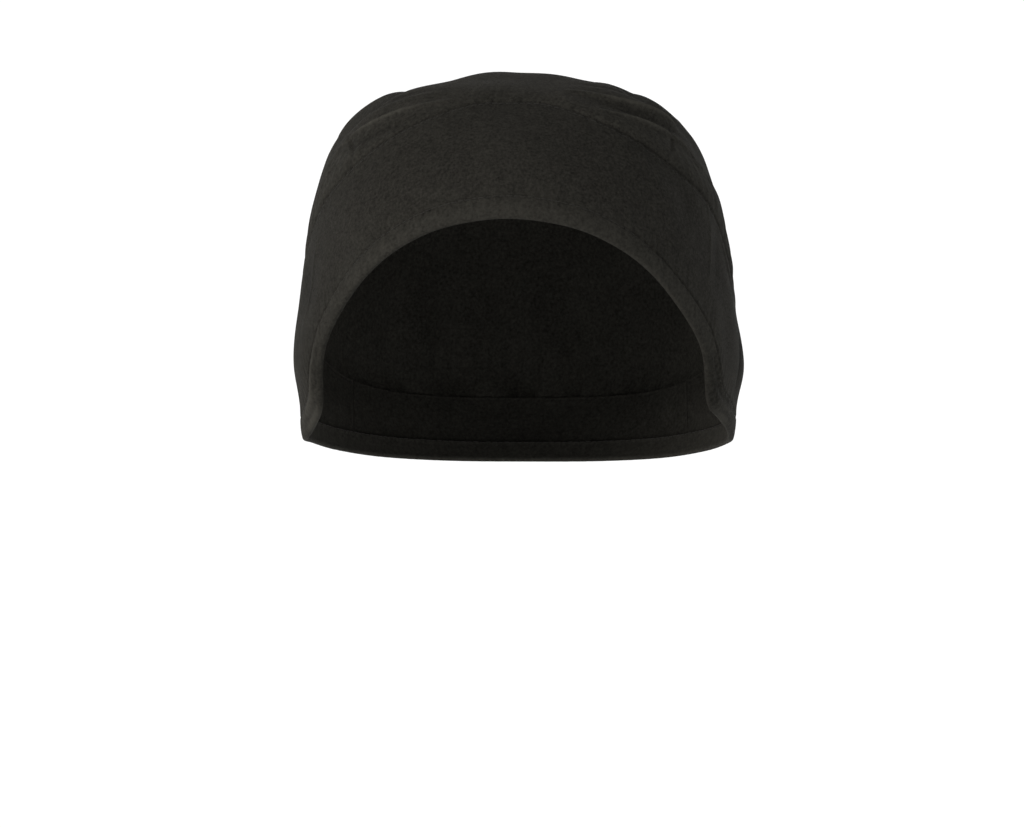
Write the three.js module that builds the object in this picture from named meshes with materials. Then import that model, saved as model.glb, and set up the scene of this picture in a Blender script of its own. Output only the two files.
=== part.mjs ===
// A surgical scrub cap in the shape that it takes when it is worn: a tall front band that
// runs from ear to ear, a loose crown that is pleated behind the band's top seam and gathered
// at the nape, a plain nape band, and a folded hem round the whole opening.
// Millimetres, +Z up, the face at -Y. The origin is on the crown's inner face, where the top
// of the head bears.
import * as THREE from "three";

// Driving sizes of the worn form, measured to the outer face of the cloth.
const HALF_WIDTH = 86; // centre line to the fullest point, over the ear
const FRONT_REACH = 98; // centre of the head to the forehead
const BACK_REACH = 107; // centre of the head to the fullest point at the back
const CROWN_RISE = 90; // centre of the head up to the crown's inner top
const PLAN_POWER = 2.1; // 2 is an ellipse seen from above, more is squarer

// Heights of the opening's edge and of the band's top seam, above the centre of the head.
const BROW_EDGE = 32;
const EAR_EDGE = -51;
const NAPE_EDGE = -60;
const SEAM_FRONT = 77;
const SEAM_SIDE = 15;
const WORN_TURN = -2; // degrees that the band's pattern is turned to the left on the head

// Cloth.
const CROWN_WALL = 1.2;
const BAND_WALL = 1.6;
const NAPE_WALL = 1.6;
const HEM_WALL = 2.4; // two layers and the turned edge
const HEM_WIDTH = 9.5;
const NAPE_BAND_WIDTH = 16;
const SEAM_GAP = 0.3; // between pieces that are sewn together

// Fullness of the crown.
const SEAM_PUFF = 1.2; // how far the crown stands off just behind the band's seam
const PUFF_REACH = 7; // how far behind the seam it is fullest
const PLEAT_DEPTH = 3.4;
const PLEAT_WIDTH = 8;
const GATHER_DEPTH = 2.2;
const GATHER_REACH = 42; // how far the gathers run up from the nape
const GATHER_COUNT = 7;
const GATHER_SPREAD = 52; // degrees to either side of the centre back
const EAR_BULGE = 2.4; // fullness behind the right ear, over the drawn-in hem
const LEFT_BULGE_SHARE = 0.1; // the left side hangs closer
const CLOTH_COLOUR = 0x2a2622;

// Faceting.
const COLUMNS_PER_SIDE = 42;
const CROWN_ROWS = 15;
const BAND_ROWS = 7;
const NAPE_ROWS = 3;

// Outline of the worn form: its reach from the centre of the head at each elevation, as
// shares of HALF_WIDTH, FRONT_REACH and BACK_REACH.
const OUTLINE = [
  { elevation: -45, side: 1.19, front: 1.05, back: 0.96 },
  { elevation: -32, side: 1.122, front: 1.02, back: 0.985 },
  { elevation: -24, side: 1.062, front: 1.0, back: 1.0 },
  { elevation: -15, side: 1.033, front: 0.99, back: 1.005 },
  { elevation: 0, side: 0.975, front: 0.99, back: 0.995 },
  { elevation: 15, side: 0.976, front: 1.005, back: 0.985 },
  { elevation: 30, side: 1.026, front: 1.0, back: 0.965 },
  { elevation: 45, side: 1.1, front: 0.975, back: 0.935 },
  { elevation: 58, side: 1.112, front: 0.95, back: 0.9 },
  { elevation: 72, side: 1.06, front: 0.935, back: 0.868 },
];

// The band's two long edges at stations from the centre front (0) to the centre back (14).
// An azimuth of 0 is the face, 90 the ear. Heights are mixed from the named ones: the edge's
// from brow, ear and nape, the seam's from front, side and the nape band's top.
const STATIONS = [
  { edge: 0, brow: 1.0, nape: 0.0, seam: 0, front: 1.0, back: 0.0 },
  { edge: 14, brow: 0.965, nape: 0.0, seam: 15, front: 0.985, back: 0.0 },
  { edge: 25, brow: 0.883, nape: 0.0, seam: 29, front: 0.885, back: 0.0 },
  { edge: 35, brow: 0.76, nape: 0.0, seam: 41, front: 0.745, back: 0.0 },
  { edge: 44, brow: 0.6, nape: 0.0, seam: 53, front: 0.57, back: 0.0 },
  { edge: 51.5, brow: 0.43, nape: 0.0, seam: 64, front: 0.42, back: 0.0 },
  { edge: 56, brow: 0.25, nape: 0.0, seam: 75, front: 0.25, back: 0.0 },
  { edge: 61, brow: 0.12, nape: 0.0, seam: 84, front: 0.11, back: 0.0 },
  { edge: 72, brow: 0.03, nape: 0.0, seam: 93, front: 0.0, back: 0.1 },
  { edge: 86, brow: 0.0, nape: 0.0, seam: 103, front: 0.0, back: 0.34 },
  { edge: 103, brow: 0.0, nape: 0.12, seam: 115, front: 0.0, back: 0.58 },
  { edge: 121, brow: 0.0, nape: 0.45, seam: 128, front: 0.0, back: 0.79 },
  { edge: 140, brow: 0.0, nape: 0.78, seam: 144, front: 0.0, back: 0.93 },
  { edge: 160, brow: 0.0, nape: 0.96, seam: 162, front: 0.0, back: 0.99 },
  { edge: 180, brow: 0.0, nape: 1.0, seam: 180, front: 0.0, back: 1.0 },
];
const RANKED = STATIONS.map((row, rank) => ({ rank, ...row }));
const LAST_STATION = STATIONS.length - 1;
const BAND_END = 11.4; // station where the front band stops and the nape band begins

// Folds of the crown, as curves on the crown laid flat round its top: across is to the
// right and back is away from the face, in shares of a quarter turn. Each runs from start
// past bend to end. Height is a share of PLEAT_DEPTH and width one of PLEAT_WIDTH.
const FOLDS = [
  // The trough behind each front shoulder, which turns back over the top of the head.
  { side: "both", start: [0.52, -0.1], bend: [0.22, -0.3], end: [0.2, 0.36], height: -1.0, width: 0.9 },
  // The crest in front of it.
  { side: "both", start: [0.54, -0.18], bend: [0.36, -0.28], end: [0.12, -0.3], height: 0.45, width: 0.7 },
  // The full side lobe behind it.
  { side: "both", start: [0.6, -0.06], bend: [0.42, -0.06], end: [0.36, 0.5], height: 0.5, width: 1.4 },
  // A second, smaller pleat on the right shoulder.
  { side: "right", start: [0.5, -0.19], bend: [0.36, -0.2], end: [0.24, -0.16], height: -0.35, width: 0.5 },
  // Slack at the back of the crown.
  { side: "left", start: [0.5, 0.3], bend: [0.3, 0.62], end: [0.02, 0.72], height: -0.75, width: 1.5 },
  { side: "right", start: [0.66, 0.42], bend: [0.42, 0.78], end: [0.1, 0.86], height: -0.65, width: 1.3 },
];
const FOLD_STEPS = 12;

const radians = THREE.MathUtils.degToRad;
const degrees = THREE.MathUtils.radToDeg;
const clamp = THREE.MathUtils.clamp;
const lerp = THREE.MathUtils.lerp;

// A smooth curve through the rows of a table, level at both ends unless told otherwise.
function smoothTable(rows, key, column, at, levelEnds = true) {
  const last = rows.length - 1;
  const slope = (i) => {
    if (levelEnds && (i === 0 || i === last)) return 0;
    const before = rows[Math.max(i - 1, 0)];
    const after = rows[Math.min(i + 1, last)];
    return (after[column] - before[column]) / (after[key] - before[key]);
  };
  let i = 0;
  while (i < last - 1 && at > rows[i + 1][key]) i++;
  const span = rows[i + 1][key] - rows[i][key];
  const t = clamp((at - rows[i][key]) / span, 0, 1);
  const t2 = t * t;
  const t3 = t2 * t;
  return (
    (2 * t3 - 3 * t2 + 1) * rows[i][column] +
    (t3 - 2 * t2 + t) * span * slope(i) +
    (3 * t2 - 2 * t3) * rows[i + 1][column] +
    (t3 - t2) * span * slope(i + 1)
  );
}

// The outline table in millimetres, closed at the crown's top.
const TOP_REACH = CROWN_RISE + CROWN_WALL;
const REACHES = [
  ...OUTLINE.map((row) => ({
    elevation: row.elevation,
    side: row.side * HALF_WIDTH,
    front: row.front * FRONT_REACH,
    back: row.back * BACK_REACH,
  })),
  { elevation: 90, side: TOP_REACH, front: TOP_REACH, back: TOP_REACH },
];

// Reach of the form without folds, in a direction from the centre of the head.
function formReach(azimuth, elevation) {
  const across = Math.abs(Math.sin(radians(azimuth))) / smoothTable(REACHES, "elevation", "side", elevation);
  const forward = Math.cos(radians(azimuth));
  const column = forward > 0 ? "front" : "back";
  const along = Math.abs(forward) / smoothTable(REACHES, "elevation", column, elevation);
  // The plan rounds off to a true ellipse towards the top.
  const power = lerp(2, PLAN_POWER, Math.min(1, 4 * Math.cos(radians(elevation)) ** 2));
  return (across ** power + along ** power) ** (-1 / power);
}

// The elevation at which the form reaches a height above the centre of the head.
function elevationAt(azimuth, height) {
  let low = -60;
  let high = 90;
  for (let i = 0; i < 40; i++) {
    const middle = (low + high) / 2;
    if (formReach(azimuth, middle) * Math.sin(radians(middle)) < height) low = middle;
    else high = middle;
  }
  return (low + high) / 2;
}

// Where the opening's edge and the band's top seam run at a station, as directions. A
// station is negative on the left.
const NAPE_SEAM = NAPE_EDGE + HEM_WIDTH + NAPE_BAND_WIDTH;
const ruledLines = new Map();
function ruledAt(station) {
  if (!ruledLines.has(station)) {
    const side = Math.sign(station) || 1;
    const read = (column, level) => smoothTable(RANKED, "rank", column, Math.abs(station), level);
    const edgeHeight = lerp(lerp(EAR_EDGE, BROW_EDGE, read("brow")), NAPE_EDGE, read("nape"));
    const seamHeight = lerp(lerp(SEAM_SIDE, SEAM_FRONT, read("front")), NAPE_SEAM, read("back"));
    const edge = side * read("edge", false) + WORN_TURN;
    const seam = side * read("seam", false) + WORN_TURN;
    ruledLines.set(station, {
      edge: { azimuth: edge, elevation: elevationAt(edge, edgeHeight) },
      seam: { azimuth: seam, elevation: elevationAt(seam, seamHeight) },
    });
  }
  return ruledLines.get(station);
}

// The direction at a share of the way from the edge (0) to the seam (1).
function bandDirection(station, share) {
  const { edge, seam } = ruledAt(station);
  return {
    azimuth: lerp(edge.azimuth, seam.azimuth, share),
    elevation: lerp(edge.elevation, seam.elevation, share),
  };
}

// Elevation of the band's top seam at an azimuth.
const SEAM_LINE = stationsBetween(-LAST_STATION, LAST_STATION, 8 * LAST_STATION).map((station) => ruledAt(station).seam);
function seamElevationAt(azimuth) {
  const turned = azimuth - WORN_TURN;
  const wrapped = turned - 360 * Math.round(turned / 360);
  return smoothTable(SEAM_LINE, "azimuth", "elevation", wrapped + WORN_TURN);
}

// A direction on the crown laid flat: [across, back], in shares of a quarter turn.
function laidFlat(azimuth, elevation) {
  const out = (90 - elevation) / 90;
  return [out * Math.sin(radians(azimuth)), -out * Math.cos(radians(azimuth))];
}

const FOLD_LINES = FOLDS.flatMap((fold) => {
  const sides = fold.side === "both" ? [1, -1] : [fold.side === "right" ? 1 : -1];
  return sides.map((side) => {
    const curve = new THREE.QuadraticBezierCurve(
      ...[fold.start, fold.bend, fold.end].map(([across, back]) => new THREE.Vector2(side * across, back)),
    );
    return { ...fold, points: curve.getPoints(FOLD_STEPS) };
  });
});

// Nearest point of a fold's line: its distance in millimetres, and how far along it lies.
function nearestOnFold(fold, across, back) {
  let best = Infinity;
  let along = 0;
  for (let i = 0; i < FOLD_STEPS; i++) {
    const a = fold.points[i];
    const b = fold.points[i + 1];
    const dx = b.x - a.x;
    const dy = b.y - a.y;
    const t = clamp(((across - a.x) * dx + (back - a.y) * dy) / (dx * dx + dy * dy), 0, 1);
    const distance = Math.hypot(across - a.x - t * dx, back - a.y - t * dy);
    if (distance < best) {
      best = distance;
      along = (i + t) / FOLD_STEPS;
    }
  }
  return { distance: best * radians(90) * CROWN_RISE, along };
}

// How far the crown's folds, puff and gathers stand off the form.
function crownRelief(azimuth, elevation) {
  const [across, back] = laidFlat(azimuth, elevation);
  const seam = seamElevationAt(azimuth);
  const fromSeam = Math.max(0, radians(elevation - seam) * CROWN_RISE);
  const risen = 1 - Math.exp(-fromSeam / PUFF_REACH);
  let relief = SEAM_PUFF * (fromSeam / PUFF_REACH) * Math.exp(1 - fromSeam / PUFF_REACH);
  for (const fold of FOLD_LINES) {
    const { distance, along } = nearestOnFold(fold, across, back);
    const fade = Math.sin(Math.PI * along) ** 0.7;
    relief += fold.height * PLEAT_DEPTH * fade * risen * Math.exp(-((distance / (fold.width * PLEAT_WIDTH)) ** 2));
  }
  const fromBack = (180 - Math.abs(azimuth)) / GATHER_SPREAD;
  if (fromBack < 1) {
    const spread = Math.cos((fromBack * Math.PI) / 2) ** 2;
    const reach = Math.exp(-((fromSeam / GATHER_REACH) ** 2));
    const turns = ((180 - Math.abs(azimuth)) / (2 * GATHER_SPREAD)) * GATHER_COUNT;
    relief += GATHER_DEPTH * spread * reach * risen * Math.cos(2 * Math.PI * turns);
  }
  return relief;
}

// The cloth bags behind the ear, above the hem that is drawn in.
function earBulge(azimuth, elevation) {
  const sideways = (Math.abs(azimuth) - 104) / 17;
  const upward = (elevation + 15) / 11;
  const bulge = azimuth > 0 ? EAR_BULGE : EAR_BULGE * LEFT_BULGE_SHARE;
  return bulge * Math.exp(-sideways * sideways - upward * upward);
}

// Reach of the cloth's outer face in the direction of a point about the centre of the head.
function clothReach(point, relief) {
  const azimuth = degrees(Math.atan2(point.x, -point.y));
  const elevation = degrees(Math.atan2(point.z, Math.hypot(point.x, point.y)));
  return formReach(azimuth, elevation) + earBulge(azimuth, elevation) + relief(azimuth, elevation);
}

// A point of the cloth, a depth under its outer face, square to that face.
const HEAD_CENTRE = new THREE.Vector3(0, 0, -CROWN_RISE);
const NORMAL_STEP = 0.4;
function clothPoint({ azimuth, elevation }, depth, relief) {
  const flat = Math.cos(radians(elevation));
  const point = new THREE.Vector3(
    flat * Math.sin(radians(azimuth)),
    -flat * Math.cos(radians(azimuth)),
    Math.sin(radians(elevation)),
  );
  point.multiplyScalar(clothReach(point, relief));
  const normal = new THREE.Vector3();
  for (const axis of ["x", "y", "z"]) {
    const ahead = point.clone();
    const behind = point.clone();
    ahead[axis] += NORMAL_STEP;
    behind[axis] -= NORMAL_STEP;
    normal[axis] = ahead.length() - clothReach(ahead, relief) - behind.length() + clothReach(behind, relief);
  }
  return point.addScaledVector(normal.normalize(), -depth).add(HEAD_CENTRE);
}

// Length over the cloth from the edge to the seam at a station.
const bandLengths = new Map();
function bandLength(station) {
  if (!bandLengths.has(station)) {
    const steps = 12;
    let length = 0;
    let before = clothPoint(bandDirection(station, 0), 0, smooth);
    for (let i = 1; i <= steps; i++) {
      const next = clothPoint(bandDirection(station, i / steps), 0, smooth);
      length += next.distanceTo(before);
      before = next;
    }
    bandLengths.set(station, length);
  }
  return bandLengths.get(station);
}

function smooth() {
  return 0;
}

// Stations from one to another, evenly spaced, both ends counted.
function stationsBetween(from, to, columns) {
  return Array.from({ length: columns + 1 }, (_, i) => lerp(from, to, i / columns));
}

function ownMaterial() {
  return new THREE.MeshStandardMaterial({ color: CLOTH_COLOUR, roughness: 0.9, metalness: 0 });
}

function meshOf(name, points, faces) {
  const geometry = new THREE.BufferGeometry();
  geometry.setAttribute("position", new THREE.Float32BufferAttribute(points.flatMap((p) => [p.x, p.y, p.z]), 3));
  geometry.setIndex(faces);
  geometry.computeVertexNormals();
  const mesh = new THREE.Mesh(geometry, ownMaterial());
  mesh.name = name;
  return mesh;
}

// A strip whose section, a loop of points, is carried from station to station. It is a
// closed ring, or a strip with a flat cap at either end. The sections have as many points
// up the outer face as down the inner one, so that a cap is a ladder between the two.
function sweptStrip(name, stations, sectionAt, ring) {
  const sections = stations.map(sectionAt);
  const size = sections[0].length;
  const faces = [];
  const quad = (a, b, c, d) => faces.push(a, b, c, a, c, d);
  const spans = ring ? sections.length : sections.length - 1;
  for (let i = 0; i < spans; i++) {
    const here = i * size;
    const there = ((i + 1) % sections.length) * size;
    for (let j = 0; j < size; j++) {
      const next = (j + 1) % size;
      quad(here + j, there + j, there + next, here + next);
    }
  }
  if (!ring) {
    const last = (sections.length - 1) * size;
    for (let j = 0; j < size / 2 - 1; j++) {
      quad(j, j + 1, size - 2 - j, size - 1 - j);
      quad(last + j, last + size - 1 - j, last + size - 2 - j, last + j + 1);
    }
  }
  return meshOf(name, sections.flat(), faces);
}

// A flat strip of cloth between two distances above the opening's edge.
function clothStrip(name, from, to, columns, rows, wall, lowest, highest) {
  const sectionAt = (station) => {
    const length = bandLength(station);
    const row = (i, depth) =>
      clothPoint(bandDirection(station, lerp(lowest(length), highest(length), i / rows) / length), depth, smooth);
    const outer = Array.from({ length: rows + 1 }, (_, i) => row(i, 0));
    const inner = Array.from({ length: rows + 1 }, (_, i) => row(rows - i, wall));
    return [...outer, ...inner];
  };
  return sweptStrip(name, stationsBetween(from, to, columns), sectionAt, false);
}

// The folded hem: a flat strip with a round lower edge, in one ring round the opening.
function hemCasing() {
  const round = HEM_WALL / 2;
  const nose = [20, 60, 120, 160].map((turn) => [
    round * (1 - Math.sin(radians(turn))),
    round * (1 - Math.cos(radians(turn))),
  ]);
  const section = [
    [HEM_WIDTH, 0],
    [HEM_WIDTH / 2, 0],
    ...nose,
    [HEM_WIDTH / 2, HEM_WALL],
    [HEM_WIDTH, HEM_WALL],
  ].reverse();
  const columns = 2 * COLUMNS_PER_SIDE;
  const stations = stationsBetween(-LAST_STATION, LAST_STATION, columns).slice(0, columns);
  const sectionAt = (station) => {
    const length = bandLength(station);
    return section.map(([above, depth]) => clothPoint(bandDirection(station, above / length), depth, smooth));
  };
  return sweptStrip("hem_casing", stations, sectionAt, true);
}

const aboveHem = () => HEM_WIDTH + SEAM_GAP;
const underSeam = (length) => length - SEAM_GAP / 2;

function frontBand() {
  const columns = Math.round((2 * COLUMNS_PER_SIDE * BAND_END) / LAST_STATION);
  return clothStrip("front_band", -BAND_END, BAND_END, columns, BAND_ROWS, BAND_WALL, aboveHem, underSeam);
}

function napeBand() {
  // The end stations stand back from the front band's, which are as long as the seam's gap.
  const stationLength = (radians(180) * BACK_REACH) / LAST_STATION / 1.2;
  const start = BAND_END + SEAM_GAP / stationLength;
  const around = 2 * LAST_STATION - start;
  const columns = Math.round((2 * COLUMNS_PER_SIDE * (LAST_STATION - start)) / LAST_STATION);
  const sectionAt = (along) => {
    const station = along > LAST_STATION ? along - 2 * LAST_STATION : along;
    const length = bandLength(station);
    const row = (i, depth) =>
      clothPoint(
        bandDirection(station, lerp(aboveHem(), underSeam(length), i / NAPE_ROWS) / length),
        depth,
        smooth,
      );
    const outer = Array.from({ length: NAPE_ROWS + 1 }, (_, i) => row(i, 0));
    const inner = Array.from({ length: NAPE_ROWS + 1 }, (_, i) => row(NAPE_ROWS - i, NAPE_WALL));
    return [...outer, ...inner];
  };
  return sweptStrip("nape_band", stationsBetween(start, around, columns), sectionAt, false);
}

// The crown: a dome from the band's seam to the top of the head, with an inner face.
function crown() {
  const columns = 2 * COLUMNS_PER_SIDE;
  const stations = stationsBetween(-LAST_STATION, LAST_STATION, columns).slice(0, columns);
  const gap = degrees(SEAM_GAP / 2 / CROWN_RISE);
  const points = [];
  for (const depth of [0, CROWN_WALL])
    for (let i = 0; i < CROWN_ROWS; i++)
      for (const station of stations) {
        const { azimuth, elevation } = bandDirection(station, 1);
        const up = lerp(elevation + gap, 90, (i / CROWN_ROWS) ** 1.08);
        points.push(clothPoint({ azimuth, elevation: up }, depth, crownRelief));
      }
  const outerTop = points.push(clothPoint({ azimuth: 0, elevation: 90 }, 0, crownRelief)) - 1;
  const innerTop = points.push(clothPoint({ azimuth: 0, elevation: 90 }, CROWN_WALL, crownRelief)) - 1;
  const faces = [];
  const inner = CROWN_ROWS * columns;
  for (let j = 0; j < columns; j++) {
    const next = (j + 1) % columns;
    for (let i = 0; i < CROWN_ROWS - 1; i++) {
      const here = i * columns;
      const above = here + columns;
      faces.push(here + j, here + next, above + next, here + j, above + next, above + j);
      const [a, b, c, d] = [here + j, here + next, above + next, above + j].map((k) => inner + k);
      faces.push(a, c, b, a, d, c);
    }
    const last = (CROWN_ROWS - 1) * columns;
    faces.push(last + j, last + next, outerTop);
    faces.push(inner + last + next, inner + last + j, innerTop);
    faces.push(j, inner + j, inner + next, j, inner + next, next);
  }
  return meshOf("crown", points, faces);
}

const cap = new THREE.Group();
cap.add(crown(), frontBand(), napeBand(), hemCasing());

export default cap;
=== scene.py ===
"""The looks of a black scrub cap in its worn shape: cloth, seams, stitches, hem and stage.

Lengths are metres and angles degrees, in the CAD model's own frame: +Z up, the face at -Y,
the origin where the top of the head bears on the crown's inner face.
"""

import bpy
import numpy as np
from bpy.props import FloatProperty, FloatVectorProperty, IntProperty, PointerProperty
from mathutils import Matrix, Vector


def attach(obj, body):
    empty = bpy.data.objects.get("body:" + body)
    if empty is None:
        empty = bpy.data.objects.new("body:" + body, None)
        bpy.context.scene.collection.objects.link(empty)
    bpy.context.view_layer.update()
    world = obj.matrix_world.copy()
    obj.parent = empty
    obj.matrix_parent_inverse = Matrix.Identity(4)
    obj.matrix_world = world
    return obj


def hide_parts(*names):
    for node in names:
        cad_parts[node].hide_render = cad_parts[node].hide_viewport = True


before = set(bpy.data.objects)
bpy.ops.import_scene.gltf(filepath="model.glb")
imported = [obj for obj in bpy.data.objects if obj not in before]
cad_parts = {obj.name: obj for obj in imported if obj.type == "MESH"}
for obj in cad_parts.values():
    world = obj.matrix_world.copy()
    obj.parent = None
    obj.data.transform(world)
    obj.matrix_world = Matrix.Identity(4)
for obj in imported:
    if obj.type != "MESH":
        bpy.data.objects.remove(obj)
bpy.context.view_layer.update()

MM = 0.001

bl_info = {
    "name": "Scrub cap",
    "version": (1, 0, 0),
    "blender": (4, 5, 0),
    "location": "View3D > Sidebar > Scrub cap",
    "description": "Builds the cloth, seams, stitches and stage of a scrub cap",
    "category": "Object",
}

# The worn form's reach from the head's centre at each elevation, as shares of its half
# width, front reach and back reach.
OUTLINE = {
    "elevation": (-45, -32, -24, -15, 0, 15, 30, 45, 58, 72),
    "side": (1.19, 1.122, 1.062, 1.033, 0.975, 0.976, 1.026, 1.1, 1.112, 1.06),
    "front": (1.05, 1.02, 1.0, 0.99, 0.99, 1.005, 1.0, 0.975, 0.95, 0.935),
    "back": (0.96, 0.985, 1.0, 1.005, 0.995, 0.985, 0.965, 0.935, 0.9, 0.868),
}

# The band's long edges at stations from the centre front to the centre back: the azimuths
# of the opening's edge and of the top seam, and how their heights are mixed.
STATIONS = {
    "edge": (0, 14, 25, 35, 44, 51.5, 56, 61, 72, 86, 103, 121, 140, 160, 180),
    "brow": (1, 0.965, 0.883, 0.76, 0.6, 0.43, 0.25, 0.12, 0.03, 0, 0, 0, 0, 0, 0),
    "nape": (0, 0, 0, 0, 0, 0, 0, 0, 0, 0, 0.12, 0.45, 0.78, 0.96, 1),
    "seam": (0, 15, 29, 41, 53, 64, 75, 84, 93, 103, 115, 128, 144, 162, 180),
    "front": (1, 0.985, 0.885, 0.745, 0.57, 0.42, 0.25, 0.11, 0, 0, 0, 0, 0, 0, 0),
    "back": (0, 0, 0, 0, 0, 0, 0, 0, 0.1, 0.34, 0.58, 0.79, 0.93, 0.99, 1),
}
LAST_STATION = len(STATIONS["edge"]) - 1

# How the opening's edge lies on the head near the ears: degrees that it is turned further
# back on the right or on the left, millimetres that it is lifted, and how far its fold
# rolls in.
EAR_EDGE = {
    "station": (-14, -9, -7.4, -5.8, -4.2, -2.6, 0, 3.6, 4.4, 5.2, 6.2, 7.0, 7.7, 8.4, 9.4, 14),
    "turn": (0, 0, -0.4, -1.4, -1.2, 0, 0, 0, 1.4, 3.6, 4.8, 4.8, 3.6, 2.0, 0, 0),
    "lift": (0, 0, 0, 0, 0, 0, 0, 0, 0, 0, 0.2, 1.6, 4.2, 4.0, 1.0, 0),
    "roll": (0, 0.2, 0.9, 1.2, 0.4, 0, 0, 0, 0.4, 1.6, 2.6, 2.8, 2.0, 0.6, 0, 0),
}
BAND_END = 11.4

# Folds of the crown on the crown laid flat round its top: across to the right and back
# from the face, in shares of a quarter turn. Height is a share of the pleats' depth and
# width one of their width. A fold of side 0 is on both sides.
FOLDS = (
    # side, start, bend, end, height, width
    (-1, (0.52, -0.10), (0.22, -0.30), (0.20, 0.36), -0.95, 0.9),
    (1, (0.52, -0.10), (0.22, -0.30), (0.20, 0.36), -0.6, 0.9),
    (0, (0.54, -0.18), (0.36, -0.28), (0.12, -0.30), 0.3, 0.7),
    (-1, (0.60, 0.04), (0.44, 0.04), (0.36, 0.50), 0.3, 1.3),
    (-1, (0.51, -0.02), (0.44, 0.0), (0.28, 0.02), 0.42, 0.8),
    (1, (0.60, -0.06), (0.42, -0.06), (0.36, 0.50), 0.1, 1.4),
    (1, (0.37, -0.12), (0.29, -0.12), (0.21, -0.13), 0.25, 0.6),
    (1, (0.45, -0.02), (0.37, -0.04), (0.31, -0.05), -0.2, 0.6),
    (1, (0.50, -0.19), (0.36, -0.20), (0.24, -0.16), -0.35, 0.5),
    (-1, (0.50, 0.30), (0.30, 0.62), (0.02, 0.72), -0.75, 1.5),
    (1, (0.66, 0.42), (0.42, 0.78), (0.10, 0.86), -0.65, 1.3),
)
FOLD_STEPS = 12

# Creases of the crown on the same layout: pleat edges, the hollows beside them, short tucks
# above the seam and puckers over the temples. Height and the two widths are millimetres.
CREASES = (
    # side, start, bend, end, height, width before, width behind
    (-1, (0.525, -0.205), (0.37, -0.375), (0.15, -0.365), 1.6, 1.0, 1.4),
    (-1, (0.50, -0.275), (0.405, -0.385), (0.25, -0.405), -1.3, 2.4, 2.2),
    (-1, (0.51, -0.13), (0.37, -0.25), (0.15, -0.30), -1.0, 2.4, 3.4),
    (-1, (0.476, -0.22), (0.470, -0.29), (0.468, -0.355), -1.1, 0.7, 0.9),
    (-1, (0.69, -0.17), (0.60, -0.24), (0.48, -0.29), 0.6, 1.2, 0.9),
    (-1, (0.65, -0.13), (0.57, -0.20), (0.49, -0.235), 0.5, 1.2, 0.9),
    (-1, (0.71, -0.21), (0.645, -0.262), (0.565, -0.31), 0.45, 1.1, 0.9),
    (1, (0.50, -0.15), (0.36, -0.33), (0.12, -0.315), 1.8, 1.1, 1.5),
    (1, (0.53, -0.16), (0.40, -0.345), (0.20, -0.345), -1.1, 2.0, 1.8),
    (1, (0.50, -0.265), (0.375, -0.368), (0.20, -0.395), 1.5, 1.2, 1.2),
    (1, (0.66, -0.20), (0.50, -0.265), (0.41, -0.31), 0.8, 1.3, 1.1),
    (1, (0.60, -0.25), (0.54, -0.287), (0.47, -0.28), 0.5, 1.1, 0.9),
    (1, (0.425, -0.265), (0.452, -0.332), (0.445, -0.40), -0.75, 0.7, 0.8),
    (1, (0.50, -0.03), (0.35, -0.24), (0.13, -0.25), -0.6, 2.4, 2.4),
    (1, (0.60, -0.19), (0.54, -0.25), (0.50, -0.30), -0.5, 1.6, 1.6),
    (0, (0.60, 0.36), (0.44, 0.60), (0.26, 0.66), 0.8, 2.4, 1.6),
    (0, (0.78, 0.26), (0.66, 0.46), (0.50, 0.58), -0.7, 3.5, 3.0),
)

# Creases of the band: places are stations and millimetres above the edge.
BAND_CREASES = (
    # start, bend, end, height, width before, width behind
    ((5.3, 58), (5.05, 40), (4.83, 21), 0.45, 0.9, 0.9),
    ((5.75, 62), (5.4, 42), (5.1, 18), -0.5, 3.2, 3.2),
    ((5.75, 63), (6.25, 56), (7.45, 47), 0.8, 1.6, 1.6),
    ((6.2, 67), (6.9, 59), (8.0, 52), -0.6, 4.0, 4.0),
    ((8.3, 55), (7.75, 33), (8.45, 11), -2.2, 5.0, 1.8),
    ((-7.0, 58), (-5.9, 40), (-5.0, 22), -0.7, 9.0, 9.0),
    ((-6.5, 26), (-5.9, 34), (-5.1, 50), 0.4, 3.0, 3.0),
    ((3.6, 20), (4.1, 36), (4.2, 52), -0.35, 4.0, 4.0),
    ((-3.0, 16), (-3.4, 34), (-3.2, 50), -0.3, 5.0, 5.0),
)

HEM_CREASES = (
    ((-8.4, 6.2), (-6.9, 5.2), (-4.8, 5.0), 0.9, 1.7, 1.7),
    ((5.2, 4.5), (6.4, 6.4), (8.8, 7.6), -1.0, 1.5, 1.5),
    ((6.6, 3.0), (7.2, 4.2), (8.2, 4.0), 0.5, 1.4, 1.4),
)

# Painted shade and painted highlight on the band and the hem, without any height of their own:
# places in a fold's shadow are painted darker, and edges that catch the light are painted lighter.
BAND_SHADES = (((8.5, 52), (8.0, 32), (8.6, 11), -0.5, 7.0, 4.0),)
HEM_SHADES_AND_HIGHLIGHTS = (
    ((5.3, 3.0), (6.3, 3.2), (7.3, 3.6), -1.1, 2.4, 2.4),
    ((-5.1, 2.4), (-5.9, 2.4), (-6.8, 2.8), -0.9, 2.0, 2.0),
    ((6.9, 0.6), (7.5, 0.6), (8.4, 0.6), 1.3, 1.4, 1.4),
    ((-6.6, 0.6), (-7.3, 0.6), (-8.0, 0.6), 1.3, 1.4, 1.4),
)

# Millimetres that each side of the head's form sways out at each elevation.
SIDE_SWAY = {
    "elevation": (-45, -34, -27, -20, -12, -4, 3, 10, 17, 23, 28, 34, 42, 60, 90),
    "left": (0, 0, -0.3, -0.3, 0, 0, -0.6, -0.9, -1.2, -1.2, -0.8, -0.2, 0, 0, 0),
    "right": (0, 1.4, 1.4, 0, 0, 0.7, 1.2, 0.5, 0, 0.3, 0.9, 0.4, 0, 0, 0),
}

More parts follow.
